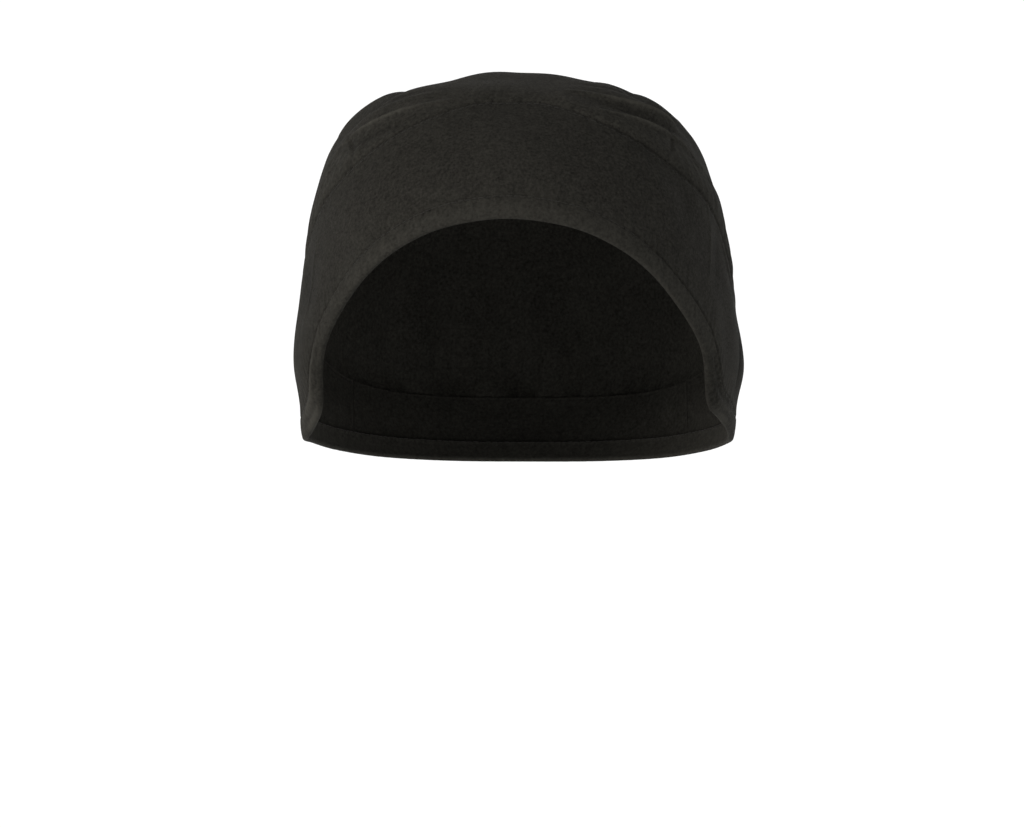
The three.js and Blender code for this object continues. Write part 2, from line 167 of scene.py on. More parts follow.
# How hard the thread draws the cloth in along the top seam, along the hem and inside the hem.
SEAM_DRAW = {
    "station": (-14, -7, -3, -1, 0, 1, 2, 5, 8, 14),
    "draw": (0.6, 0.35, 0.4, 0.5, 0.4, 0.55, 0.85, 0.85, 0.7, 0.6),
}
HEM_DRAW = {
    "station": (-14, -8, -5.5, -3.5, -2, 0, 2, 3.2, 6, 9, 14),
    "draw": (0.6, 0.5, 0.9, 0.8, 0.3, 0.3, 0.5, 1.2, 1.2, 0.7, 0.6),
}
INNER_DRAW = {"station": (-14, 14), "draw": (0.3, 0.3)}

# Grooves that a seam or a row of stitches draws in, each a depth and a half width.
CROWN_GROOVE = (0.7 * MM, 0.55 * MM)
BAND_GROOVE = (0.7 * MM, 0.5 * MM)
EDGE_STITCH_GROOVE = (0.25 * MM, 0.45 * MM)
HEM_GROOVE = (0.65 * MM, 0.5 * MM)
END_GROOVE = (0.6 * MM, 0.9 * MM)

# Waves and ripples of the cloth, each a wavelength and the seed that it is drawn with. The
# tucks' one is in degrees round the crown.
CROWN_WAVES, BAND_WAVES = (38 * MM, 5), (45 * MM, 14)
SEAM_RIPPLES, BAND_RIPPLES, HEM_RIPPLES = (7 * MM, 3), (6 * MM, 11), (5 * MM, 12)
TUCK_RIPPLES = (24, 21)

# How far from a seam or a row of stitches each thing fades.
PUFF_REACH, GATHER_REACH, TUCK_REACH = 7 * MM, 42 * MM, 18 * MM
CROWN_PUCKER_REACH, PUCKER_REACH, FREE_REACH = 9 * MM, 5 * MM, 6 * MM
CROWN_SETTLE, BAND_SETTLE, HEM_SETTLE = 1.6 * MM, 3 * MM, 2 * MM
EDGE_LIGHT_REACH, ROLL_REACH = 15 * MM, 8.6 * MM

SEAM_PUFF, HEM_PUFF = 1.2 * MM, 0.25 * MM
GATHER_COUNT, GATHER_SPREAD = 7, 52
TUCK_COUNT, TUCK_DEPTH = 62, 1.9 * MM
EAR_BULGE, LEFT_BULGE_SHARE = 3.1 * MM, -0.27
BULGE_AZIMUTH, BULGE_WIDTH = 104, 17
BULGE_ELEVATION, BULGE_HEIGHT = -15, 11
CROWN_ROWS, CROWN_INNER_ROWS, BAND_ROWS, NAPE_ROWS, HEM_ROWS = 128, 36, 84, 24, 24
STITCH_SHARE, STITCH_STEP = 0.84, 0.02  # of a stitch's length that shows, and in stations
STITCH_LIFT, STITCH_SINK = 0.16 * MM, 0.36 * MM
SENSOR_WIDTH, WORLD_GLOW, STAGE_GLOW, STAGE_GREY = 36.0, 0.45, 0.78, 0.3
FLOOR_RINGS, STAGE_BEND, STAGE_WALL, STAGE_SIDES = (0.6, 1.6, 2.6), 2.0, 3.2, 96
SEAM_CRACK, END_CRACK = 0.02 * MM, 0.006
DETAIL_SHARE = 0.85  # how much of the crown's wall a crease may dig into
SLOW_SHARE = 0.15  # how much the slow forms count in the painted highlight and shade
# Painted light: the band and the hem are painted lighter towards the opening's edge, fading over 15 mm.
EDGE_PAINTED_LIGHT = 0.9 * MM
HEM_ALLOWANCE = 9.5 * MM  # from the opening's edge to the nape band


def metres(name, description, default):
    """A property that holds a length in metres."""
    return FloatProperty(name=name, description=description, default=default, unit="LENGTH")


def number(name, description, default):
    """A property that holds a plain number."""
    return FloatProperty(name=name, description=description, default=default)


def tint(name, description, default):
    """A property that holds a linear colour."""
    shared = {"size": 3, "subtype": "COLOR", "min": 0, "max": 1}
    return FloatVectorProperty(name=name, description=description, default=default, **shared)


class CapForm(bpy.types.PropertyGroup):
    """Sizes of the worn form, to the cloth's outer face."""

    half_width: metres("Half width", "Centre line to the fullest point over the ear", 86 * MM)
    front_reach: metres("Front reach", "Centre of the head to the forehead", 98 * MM)
    back_reach: metres("Back reach", "Centre of the head to the fullest point behind", 107 * MM)
    crown_rise: metres("Crown rise", "Centre of the head up to the crown's inner top", 90 * MM)
    plan_power: number("Plan power", "2 is an ellipse seen from above and more is squarer", 2.1)
    brow_edge: metres("Brow edge", "Height of the opening's edge over the brow", 32 * MM)
    ear_edge: metres("Ear edge", "Height of the opening's edge at the ears", -51 * MM)
    nape_edge: metres("Nape edge", "Height of the opening's edge at the nape", -60 * MM)
    seam_front: metres("Seam front", "Height of the top seam at the centre front", 77 * MM)
    seam_side: metres("Seam side", "Height of the top seam over the ears", 15 * MM)
    nape_width: metres("Nape band width", "Width of the plain band at the nape", 16 * MM)
    worn_turn: number("Worn turn", "How far the band is turned on the head, in degrees", -2.0)


class CapCloth(bpy.types.PropertyGroup):
    """The cloth, its seams and its colour."""

    crown_wall: metres("Crown wall", "Thickness of the crown's cloth", 1.2 * MM)
    band_wall: metres("Band wall", "Thickness of the band's two layers", 1.6 * MM)
    hem_wall: metres("Hem wall", "Thickness of the turned hem", 2.4 * MM)
    hem_width: metres("Hem width", "Width of the turned hem", 9.3 * MM)
    hem_stitch: metres("Hem stitch line", "Height of the hem's stitches above the edge", 8.6 * MM)
    seam_stitch: metres("Seam stitch line", "Distance of the edge stitches under the top seam", 1.7 * MM)
    stitch_length: metres("Stitch length", "Length of one machine stitch", 2.6 * MM)
    thread_width: metres("Thread width", "Thickness of the sewing thread", 0.26 * MM)
    pleat_depth: metres("Pleat depth", "Depth of the crown's pleats", 3.4 * MM)
    pleat_width: metres("Pleat width", "Width of the crown's pleats", 8 * MM)
    gather_depth: metres("Gather depth", "Depth of the gathers at the nape", 2.2 * MM)
    pucker_depth: metres("Pucker depth", "Depth of the puckers beside the seams", 0.15 * MM)
    slack_depth: metres("Slack depth", "Depth of the cloth's slow waves", 0.45 * MM)
    weave_pitch: metres("Weave pitch", "Distance from thread to thread", 0.42 * MM)
    colour: tint("Cloth colour", "Colour of the cloth", (0.0140, 0.0134, 0.0114))
    thread_colour: tint("Thread colour", "Colour of the sewing thread", (0.0160, 0.0152, 0.0134))
    columns: IntProperty(name="Columns", description="Mesh columns round the cap", default=540, min=60)


class CapStage(bpy.types.PropertyGroup):
    """Floor, lights and camera."""

    floor_depth: metres("Floor depth", "Floor below the top of the head", 1.62)
    stage_reach: metres("Stage reach", "Radius at which the floor has turned up", 5.4)
    camera_distance: metres("Camera distance", "Camera to the head's centre", 2.2)
    camera_height: metres("Camera height", "Camera above the top of the head", -0.13047)
    camera_aside: metres("Camera aside", "Camera to the right of the head's centre", -0.00135)
    frame_width: metres("Frame width", "Width of the view at the head's centre", 0.39424)
    key_power: number("Key power", "Power of the soft light at the upper left", 64.0)
    fill_power: number("Fill power", "Power of the soft light at the right", 1.0)
    top_power: number("Top power", "Power of the soft light overhead", 1.5)


def smooth_table(xs, ys, at, level_ends=True):
    """Cubic Hermite curve through the rows (xs, ys). The slope at a row is that of the chord between
    its two neighbours, and zero at both ends unless told otherwise.
    """
    xs, ys, at = np.asarray(xs, float), np.asarray(ys, float), np.asarray(at, float)
    slope = np.zeros_like(ys)
    slope[1:-1] = (ys[2:] - ys[:-2]) / (xs[2:] - xs[:-2])
    if not level_ends:
        slope[0] = (ys[1] - ys[0]) / (xs[1] - xs[0])
        slope[-1] = (ys[-1] - ys[-2]) / (xs[-1] - xs[-2])
    i = np.clip(np.searchsorted(xs, at, side="right") - 1, 0, len(xs) - 2)
    span = xs[i + 1] - xs[i]
    t = np.clip((at - xs[i]) / span, 0, 1)
    return (
        (2 * t**3 - 3 * t**2 + 1) * ys[i]
        + (t**3 - 2 * t**2 + t) * span * slope[i]
        + (3 * t**2 - 2 * t**3) * ys[i + 1]
        + (t**3 - t**2) * span * slope[i + 1]
    )


def waves(x, y, size, seed, count=9):
    """Slow random relief between about -1 and 1: the mean of plane waves of wavelengths round size,
    with seeded directions and phases.
    """
    rng = np.random.default_rng(seed)
    total = 0
    for _ in range(count):
        turn, phase = rng.uniform(0, 2 * np.pi, 2)
        k = 2 * np.pi / (size * rng.uniform(0.6, 1.7))
        total = total + np.sin(k * (x * np.cos(turn) + y * np.sin(turn)) + phase)
    return total / np.sqrt(count)


def ripples(x, size, seed, count=7):
    """Random relief along one line between about -1 and 1: the mean of sine waves of wavelengths
    round size.
    """
    rng = np.random.default_rng(seed)
    total = 0
    for _ in range(count):
        phase = rng.uniform(0, 2 * np.pi)
        k = 2 * np.pi / (size * rng.uniform(0.55, 1.6))
        total = total + np.sin(k * x + phase)
    return total / np.sqrt(count)


def ditch(distance, width):
    """A groove's cross-section: 1 in its middle, falling off as a bell curve."""
    return np.exp(-((distance / width) ** 2))


def groove(distance, shape):
    """How deep a groove of a depth and a half width lies at a distance from its middle."""
    depth, width = shape
    return depth * ditch(distance, width)


def fading(distance, reach):
    """1 on a line, and an exponential fall away from it."""
    return np.exp(-distance / reach)


def read_table(table, column, at):
    """A column of a table along its first column, which says where the rows stand."""
    return smooth_table(next(iter(table.values())), table[column], at)


class WornForm:
    """The cap's worn surface. A place on it is a direction from the head's centre, as an azimuth
    from the face and an elevation, or a station along the band and a height above the opening's
    edge.
    """

    def __init__(self, size, cloth):
        self.size, self.cloth = size, cloth
        self.top = size.crown_rise + cloth.crown_wall
        self.elevations = (*OUTLINE["elevation"], 90)
        axes = {"side": size.half_width, "front": size.front_reach, "back": size.back_reach}
        self.reaches = {key: [*(np.array(OUTLINE[key]) * axis), self.top] for key, axis in axes.items()}
        self.centre = np.array([0, 0, -size.crown_rise])
        self.stations = np.linspace(-LAST_STATION, LAST_STATION, 1401)
        self.table = self.ruled(self.stations)

    def reach(self, azimuth, elevation):
        """Superellipse in plan, whose half axes are read from the outline table at this elevation,
        rounding off to an ellipse towards the top.
        """
        read = lambda column: smooth_table(self.elevations, self.reaches[column], elevation)
        forward = np.cos(np.radians(azimuth))
        across = np.abs(np.sin(np.radians(azimuth))) / read("side")
        along = np.abs(forward) / np.where(forward > 0, read("front"), read("back"))
        squareness = np.minimum(1, 4 * np.cos(np.radians(elevation)) ** 2)
        power = 2 + (self.size.plan_power - 2) * squareness
        return (across**power + along**power) ** (-1 / power)

    def bulge(self, azimuth, elevation):
        """Fullness behind the ears, a bell curve in azimuth and elevation that is larger on the
        right, and the sides' slow sway in and out.
        """
        size = np.where(azimuth > 0, EAR_BULGE, EAR_BULGE * LEFT_BULGE_SHARE)
        left, right = (read_table(SIDE_SWAY, side, elevation) * MM for side in ("left", "right"))
        sway = np.abs(np.sin(np.radians(azimuth))) ** 1.5 * np.where(azimuth > 0, right, left)
        fullness = ditch(np.abs(azimuth) - BULGE_AZIMUTH, BULGE_WIDTH)
        return size * fullness * ditch(elevation - BULGE_ELEVATION, BULGE_HEIGHT) + sway

    def elevation_at(self, azimuth, height):
        """The elevation at which the form reaches a height above the head's centre, by halving."""
        low, high = np.full_like(azimuth, -60.0), np.full_like(azimuth, 90.0)
        for _ in range(40):
            middle = (low + high) / 2
            under = self.reach(azimuth, middle) * np.sin(np.radians(middle)) < height
            low, high = np.where(under, middle, low), np.where(under, high, middle)
        return (low + high) / 2

    def ruled(self, station):
        """Directions of the opening's edge and of the top seam at each station, and the length over
        the cloth between them.
        """
        size, rank = self.size, np.arange(LAST_STATION + 1)
        side = np.where(station < 0, -1, 1)
        read = lambda column, level=True: smooth_table(rank, STATIONS[column], np.abs(station), level)
        mix = lambda a, b, share: a + (b - a) * share
        edge_height = mix(mix(size.ear_edge, size.brow_edge, read("brow")), size.nape_edge, read("nape"))
        edge_height = edge_height + read_table(EAR_EDGE, "lift", station) * MM
        nape_seam = size.nape_edge + HEM_ALLOWANCE + size.nape_width
        seam_height = mix(mix(size.seam_side, size.seam_front, read("front")), nape_seam, read("back"))
        edge = side * read("edge", False) + size.worn_turn + read_table(EAR_EDGE, "turn", station)
        seam = side * read("seam", False) + size.worn_turn
        low, high = self.elevation_at(edge, edge_height), self.elevation_at(seam, seam_height)
        share = np.linspace(0, 1, 25)[None, :]
        across = lambda a, b: mix(a[:, None], b[:, None], share)
        line = self.place(across(edge, seam), across(low, high))
        length = np.linalg.norm(np.diff(line, axis=1), axis=2).sum(axis=1)
        return {"edge": edge, "seam": seam, "low": low, "high": high, "length": length}

    def read(self, column, station):
        """A column of the ruled table at any stations, along straight lines between its rows."""
        return np.interp(station, self.stations, self.table[column])

    def direction(self, station, above):
        """Azimuth and elevation at a height above the opening's edge, measured over the cloth."""
        share = above / self.read("length", station)
        azimuth = self.read("edge", station) * (1 - share) + self.read("seam", station) * share
        return azimuth, self.read("low", station) * (1 - share) + self.read("high", station) * share

    def seam_elevation(self, azimuth):
        """Elevation of the top seam at an azimuth, which may be turned past half a turn."""
        turned = azimuth - self.size.worn_turn
        wrapped = turned - 360 * np.round(turned / 360) + self.size.worn_turn
        return np.interp(wrapped, self.table["seam"], self.table["high"])

    def station_at(self, azimuth):
        """The station whose top seam lies at an azimuth."""
        return np.interp(azimuth, self.table["seam"], self.stations)

    def place(self, azimuth, elevation, relief=0):
        """The point at a direction: the head's centre plus the reach and relief along it."""
        a, e = np.radians(azimuth), np.radians(elevation)
        ray = np.stack([np.cos(e) * np.sin(a), -np.cos(e) * np.cos(a), np.sin(e)], -1)
        reach = self.reach(azimuth, elevation) + self.bulge(azimuth, elevation) + relief
        return self.centre + ray * reach[..., None]

    def outward(self, azimuth, elevation):
        """The smooth form's normal: the gradient of distance less reach, by central differences."""
        middle = self.place(azimuth, elevation) - self.centre
        step, parts = 0.4 * MM, []
        for axis in np.eye(3) * step:
            ends = []
            for p in (middle + axis, middle - axis):
                flat = np.hypot(p[..., 0], p[..., 1])
                a = np.degrees(np.arctan2(p[..., 0], -p[..., 1]))
                e = np.degrees(np.arctan2(p[..., 2], flat))
                ends.append(np.hypot(flat, p[..., 2]) - self.reach(a, e) - self.bulge(a, e))
            parts.append(ends[0] - ends[1])
        normal = np.stack(parts, -1)
        return normal / np.linalg.norm(normal, axis=-1, keepdims=True)

    def strip(self, station, above, relief, depth):
        """A point of the band: the form's point plus relief along the ray, less depth along the
        normal.
        """
        azimuth, elevation = self.direction(station, above)
        normal = self.outward(azimuth, elevation)
        return self.place(azimuth, elevation, relief) - normal * np.asarray(depth)[..., None]

    def travelled(self, stations, above):
        """Distance over the cloth from the first station to each, at a height above the edge."""
        line = self.place(*self.direction(stations, above))
        return np.concatenate([[0], np.cumsum(np.linalg.norm(np.diff(line, axis=0), axis=1))])

    def spaced(self, above, spacing):
        """Stations round the cap at equal spacing over the cloth, on a line at a height above
        the edge.
        """
        fine = np.linspace(-LAST_STATION, LAST_STATION, 2400)
        travelled = self.travelled(fine, above(fine))
        count = int(travelled[-1] / spacing)
        return np.interp((np.arange(count) + 0.5) * travelled[-1] / count, travelled, fine)

    def run_length(self, station):
        """Distance round the cap from the centre front to each station, along the band's middle."""
        fine = np.linspace(-LAST_STATION * 1.2, LAST_STATION * 1.2, 2400)
        wrapped = fine - 2 * LAST_STATION * np.round(fine / (2 * LAST_STATION))
        travelled = self.travelled(wrapped, 30 * MM)
        return np.interp(station, fine, travelled) - np.interp(0, fine, travelled)


def fold_distance(across, back, start, bend, end):
    """Distance to a bowed line, taken as short chords of the quadratic through bend, and how far
    along it the nearest point lies. The distance is positive to the line's left.
    """
    t = np.linspace(0, 1, FOLD_STEPS + 1)[:, None]
    line = (1 - t) ** 2 * np.array(start) + 2 * t * (1 - t) * np.array(bend) + t**2 * np.array(end)
    best, along = np.full(across.shape, np.inf), np.zeros(across.shape)
    for k, (a, b) in enumerate(zip(line[:-1], line[1:])):
        d = b - a
        s = np.clip(((across - a[0]) * d[0] + (back - a[1]) * d[1]) / (d @ d), 0, 1)
        gap = np.hypot(across - a[0] - s * d[0], back - a[1] - s * d[1])
        gap = np.where(d[0] * (back - a[1]) > d[1] * (across - a[0]), gap, -gap)
        nearer = np.abs(gap) < np.abs(best)
        best, along = np.where(nearer, gap, best), np.where(nearer, (k + s) / FOLD_STEPS, along)
    return best, along


def creased(x, y, rows):
    """Height that creases add at (x, y). Each is a bell curve across its bowed line, with one width
    on its left and another on its right, and fades at both ends.
    """
    total = np.zeros(x.shape)
    for start, bend, end, height, before, behind in rows:
        gap, along = fold_distance(x, y, start, bend, end)
        width = np.where(gap > 0, before, behind) * MM
        total = total + height * MM * np.sin(np.pi * np.clip(along, 0, 1)) * ditch(gap, width)
    return total


def crown_relief(form, azimuth, elevation, fine=True):
    """Height of the crown over the smooth form. Behind the seam it puffs up as x times a falling
    exponential. Each fold adds a bell curve across its line that fades at both ends, and the
    nape's gathers and tucks a cosine in azimuth. The fine part adds the creases, the puckers and
    the groove at the seam. The second result is how far the cloth stands out, which is painted
    lighter as a highlight or darker as shade; the slow forms count little in it.
    """
    cloth, rise = form.cloth, form.size.crown_rise
    quarter, turned, out = np.pi / 2 * rise, np.radians(azimuth), (90 - elevation) / 90
    across, back = out * np.sin(turned), -out * np.cos(turned)
    behind = np.maximum(0, np.radians(elevation - form.seam_elevation(azimuth)) * rise)
    risen = 1 - fading(behind, PUFF_REACH)
    slow = SEAM_PUFF * (behind / PUFF_REACH) * fading(behind - PUFF_REACH, PUFF_REACH)
    for side, start, bend, end, height, width in FOLDS:
        for mirror in (1, -1) if side == 0 else (side,):
            gap, along = fold_distance(across * mirror, back, start, bend, end)
            fade = np.sin(np.pi * np.clip(along, 0, 1)) ** 0.7
            shape = ditch(gap * quarter, width * cloth.pleat_width)
            slow = slow + height * cloth.pleat_depth * fade * risen * shape
    from_nape = 180 - np.abs(azimuth)
    spread = np.cos(np.minimum(1, from_nape / GATHER_SPREAD) * np.pi / 2) ** 2
    gathers = spread * ditch(behind, GATHER_REACH) * np.cos(np.pi * GATHER_COUNT * from_nape / GATHER_SPREAD)
    slow = slow + cloth.gather_depth * gathers * risen
    slow = slow + cloth.slack_depth * waves(across * quarter, back * quarter, *CROWN_WAVES) * risen
    settled = 1 - fading(behind, CROWN_SETTLE)
    tucks = np.abs(np.cos(turned * TUCK_COUNT / 2 + 1.3 * ripples(azimuth, *TUCK_RIPPLES))) ** 3
    tucks = tucks * ditch(from_nape, GATHER_SPREAD * 1.2) * fading(behind, TUCK_REACH) * settled
    tucked = slow - TUCK_DEPTH * tucks
    if not fine:
        return tucked, slow * SLOW_SHARE
    detail = -drawn(SEAM_DRAW, form.station_at(azimuth)) * groove(behind, CROWN_GROOVE)
    for mirror in (1, -1):
        rows = [row for row in CREASES if row[0] in (0, mirror)]
        laid = [[*(np.array(p) * quarter for p in row[1:4]), *row[4:]] for row in rows]
        detail = detail + creased(across * quarter * mirror, back * quarter, laid) * settled
    sides = 0.3 + 0.7 * np.sin(np.radians(np.minimum(90, np.abs(azimuth)))) ** 2
    puckers = ripples(turned * form.size.half_width, *SEAM_RIPPLES) * fading(behind, CROWN_PUCKER_REACH)
    detail = detail + 4 * cloth.pucker_depth * puckers * sides * risen
    relief = tucked + np.maximum(detail, -DETAIL_SHARE * cloth.crown_wall)
    return relief, tucked + detail - slow * (1 - SLOW_SHARE)


def drawn(table, station):
    """How hard the thread draws the cloth in at a station."""
    return read_table(table, "draw", station)


def pull(cloth, run):
    """How far each stitch of a row pulls its groove in: a cosine from stitch to stitch."""
    return 0.8 + 0.2 * np.cos(2 * np.pi * run / cloth.stitch_length)


def laid_on(form, creases):
    """The rows of creases with their places turned from stations and millimetres into
    distance round the cap and height.
    """
    turned = lambda p: np.array((form.run_length(np.array([p[0]]))[0], p[1] * MM))
    return [[*map(turned, row[:3]), *row[3:]] for row in creases]


def hem_stitched(form, run, station, above):
    """What the hem's stitches do on either side of their line: a groove, and puckers that
    fade away from it.
    """
    from_line = above - form.cloth.hem_stitch
    puckers = ripples(run, *HEM_RIPPLES) * fading(np.abs(from_line), PUCKER_REACH)
    drawn_in = pull(form.cloth, run) * drawn(HEM_DRAW, station) * groove(from_line, HEM_GROOVE)
    return form.cloth.pucker_depth * puckers - drawn_in


def band_relief(form, station, above):
    """Height of the band over the smooth form: a groove at the hem, at the seam and at both
    ends, a second one where the seam is edge-stitched, creases, puckers that fade away from
    both lines, and slow waves.
    """
    cloth = form.cloth
    length, run = form.read("length", station), form.run_length(station)
    below, draw = length - above, drawn(SEAM_DRAW, station)
    relief = hem_stitched(form, run, station, above) - draw * groove(below, BAND_GROOVE)
    relief = relief - draw * pull(cloth, run) * groove(below - cloth.seam_stitch, EDGE_STITCH_GROOVE)
    relief = relief - groove(np.abs(run) - form.run_length(np.array([BAND_END]))[0], END_GROOVE)
    relief = relief + creased(run, above, laid_on(form, BAND_CREASES)) * (1 - fading(below, BAND_SETTLE))
    relief = relief + cloth.pucker_depth * ripples(run, *BAND_RIPPLES) * fading(below, PUCKER_REACH)
    free = 1 - fading(np.maximum(0, above - cloth.hem_stitch), FREE_REACH)
    slow = cloth.slack_depth * waves(run, above, *BAND_WAVES) * free * (1 - fading(below, FREE_REACH))
    # Painted shade in a fold, and painted light towards the opening's edge.
    worn = creased(run, above, laid_on(form, BAND_SHADES)) + EDGE_PAINTED_LIGHT * fading(above, EDGE_LIGHT_REACH)
    return relief + slow, relief + slow * SLOW_SHARE + worn


def hem_relief(form, station, above):
    """Height of the hem over the smooth form: it puffs a little between its fold and its
    stitch line, where it is drawn in, ripples along the fold and rolls in at the ears.
    """
    cloth, run = form.cloth, form.run_length(station)
    relief = HEM_PUFF * np.sin(np.pi * np.clip(above / cloth.hem_stitch, 0, 1))
    relief = relief + hem_stitched(form, run, station, above)
    settled = np.minimum(1, (cloth.hem_width - above) / HEM_SETTLE)
    relief = relief + creased(run, above, laid_on(form, HEM_CREASES)) * settled
    roll = read_table(EAR_EDGE, "roll", station) * MM * np.maximum(0, 1 - above / ROLL_REACH) ** 1.6
    # Painted shade and painted highlight near the ears, and painted light towards the opening's edge.
    worn = creased(run, above, laid_on(form, HEM_SHADES_AND_HIGHLIGHTS)) + EDGE_PAINTED_LIGHT * fading(above, EDGE_LIGHT_REACH)
    return relief - roll, relief - 0.4 * roll + worn


def add_mesh(name, points, faces, uvs=None, values=None):
    """A mesh object from arrays: points, faces as corner indices, a UV for each corner, and a number
    for each point.
    """
    mesh = bpy.data.meshes.new(name)
    mesh.from_pydata(points.tolist(), [], [tuple(f) for block in faces for f in block.tolist()])
    if uvs is not None:
        layer = mesh.uv_layers.new(name="Weave")
        layer.data.foreach_set("uv", np.concatenate([u.reshape(-1) for u in uvs]).astype(np.float32))
    # The number for each point is read by the cloth's material as painted highlight and shade.
    if values is not None:
        painted_shading = mesh.attributes.new("painted_shading", "FLOAT", "POINT")
        painted_shading.data.foreach_set("value", values.astype(np.float32))
    mesh.polygons.foreach_set("use_smooth", np.ones(len(mesh.polygons), bool))
    mesh.update()
    obj = bpy.data.objects.new(name, mesh)
    bpy.context.scene.collection.objects.link(obj)
    return obj


def swept(name, sections, uvs, painted_shading, ring):
    """A solid strip: sections, loops of points, joined from one to the next, in a closed ring or
    with a ladder of faces at either end. Shapes are (sections, points in one).
    """
    n, m = sections.shape[:2]
    i, j = np.meshgrid(np.arange(n if ring else n - 1), np.arange(m), indexing="ij")
    here, there, up = i, (i + 1) % n, (j + 1) % m
    quads = np.stack([here * m + j, there * m + j, there * m + up, here * m + up], -1).reshape(-1, 4)
    corner = np.stack([uvs[i, j], uvs[i + 1, j], uvs[i + 1, j + 1], uvs[i, j + 1]], 2).reshape(-1, 4, 2)
    faces, corners = [quads], [corner]
    if not ring:
        k = np.arange(m // 2 - 1)
        last = (n - 1) * m
        first_cap = np.stack([k, k + 1, m - 2 - k, m - 1 - k], -1)
        last_cap = last + np.stack([k, m - 1 - k, m - 2 - k, k + 1], -1)
        flat = uvs[:n, :m].reshape(-1, 2)
        faces += [first_cap, last_cap]
        corners += [flat[first_cap], flat[last_cap]]
    return add_mesh(name, sections.reshape(-1, 3), faces, corners, painted_shading.reshape(-1))


def closed_round(form, uvs, ring):
    """UVs with one section more: the first a whole turn on in a ring, or else the last again."""
    turn = np.array([2 * form.run_length(np.array([LAST_STATION]))[0], 0])
    return np.concatenate([uvs, uvs[:1] + turn if ring else uvs[-1:]], 0)


def cloth_strip(form, name, stations, rows, wall, relief):
    """A wall of cloth along the band, from the hem up to the top seam: its outer face going
    up, then its inner face coming down, which follows the outer one at the wall's depth.
    """
    even = np.linspace(0, 1, rows + 1)
    share = 0.7 * (1 - np.cos(np.pi * even)) / 2 + 0.3 * even
    wrapped = stations - 2 * LAST_STATION * np.round(stations / (2 * LAST_STATION))
    low, high = form.cloth.hem_width, form.read("length", wrapped)[:, None] - SEAM_CRACK
    above = low + (high - low) * share
    st = np.broadcast_to(wrapped[:, None], above.shape)
    # worn holds heights for the painted highlight and shade.
    rise, worn = relief(form, st, above)
    outer, inner = (form.strip(st, above, rise, np.full_like(above, depth)) for depth in (0, wall))
    sections = np.concatenate([outer, inner[:, ::-1]], 1)
    around = np.broadcast_to(form.run_length(stations)[:, None], (len(stations), 2 * rows + 3))
    upward = np.concatenate([above, 2 * above.max() - above[:, ::-1], above[:, :1]], 1)
    uvs = closed_round(form, np.stack([around, upward], -1), False)
    return swept(name, sections, uvs, np.concatenate([worn, worn[:, ::-1]], 1) / MM, False)


def ring_stations(columns):
    """Evenly spaced stations round the whole cap, without repeating the first."""
    return np.linspace(-LAST_STATION, LAST_STATION, columns, endpoint=False)


def threads(name, middles, alongs, outs, span, width, arch):
    """Short threads, one for each row: a six-sided tube bent to a parabola that rises by arch
    in its middle and thins out to its ends.
    """
    x = np.array([-0.5, -0.42, -0.2, 0.2, 0.42, 0.5])
    thick = np.array([0.25, 0.8, 1.0, 1.0, 0.8, 0.25]) * width / 2
    turn, rise = np.arange(6) * np.pi / 3, arch * (1 - (2 * x) ** 2)
    sides = np.cross(outs, alongs)
    centre = middles[:, None] + alongs[:, None] * (x * span)[:, None] + outs[:, None] * rise[:, None]
    spoke = sides[:, None, None] * np.cos(turn)[:, None] + outs[:, None, None] * np.sin(turn)[:, None]
    points = centre[:, :, None] + spoke * thick[:, None, None]
    i, j = np.meshgrid(np.arange(5), np.arange(6), indexing="ij")
    up = (j + 1) % 6
    quads = np.stack([i * 6 + j, i * 6 + up, (i + 1) * 6 + up, (i + 1) * 6 + j], -1).reshape(-1, 4)
    caps = np.stack([np.arange(6)[::-1], 30 + np.arange(6)])
    start = (np.arange(len(middles)) * 36)[:, None, None]
    faces = [(quads + start).reshape(-1, 4), (caps + start).reshape(-1, 6)]
    return add_mesh(name, points.reshape(-1, 3), faces)


class Value:
    """A number that changes over the surface. It wraps a node's socket, and arithmetic on it adds
    Math nodes.
    """

    def __init__(self, graph, socket):
        self.graph, self.socket = graph, socket

    def __add__(self, other):
        return self.graph.math("ADD", self, other)

    def __sub__(self, other):
        return self.graph.math("SUBTRACT", self, other)

    def __rsub__(self, other):
        return self.graph.math("SUBTRACT", other, self)

    def __mul__(self, other):
        return self.graph.math("MULTIPLY", self, other)

    def __truediv__(self, other):
        return self.graph.math("DIVIDE", self, other)

    __radd__, __rmul__ = __add__, __mul__


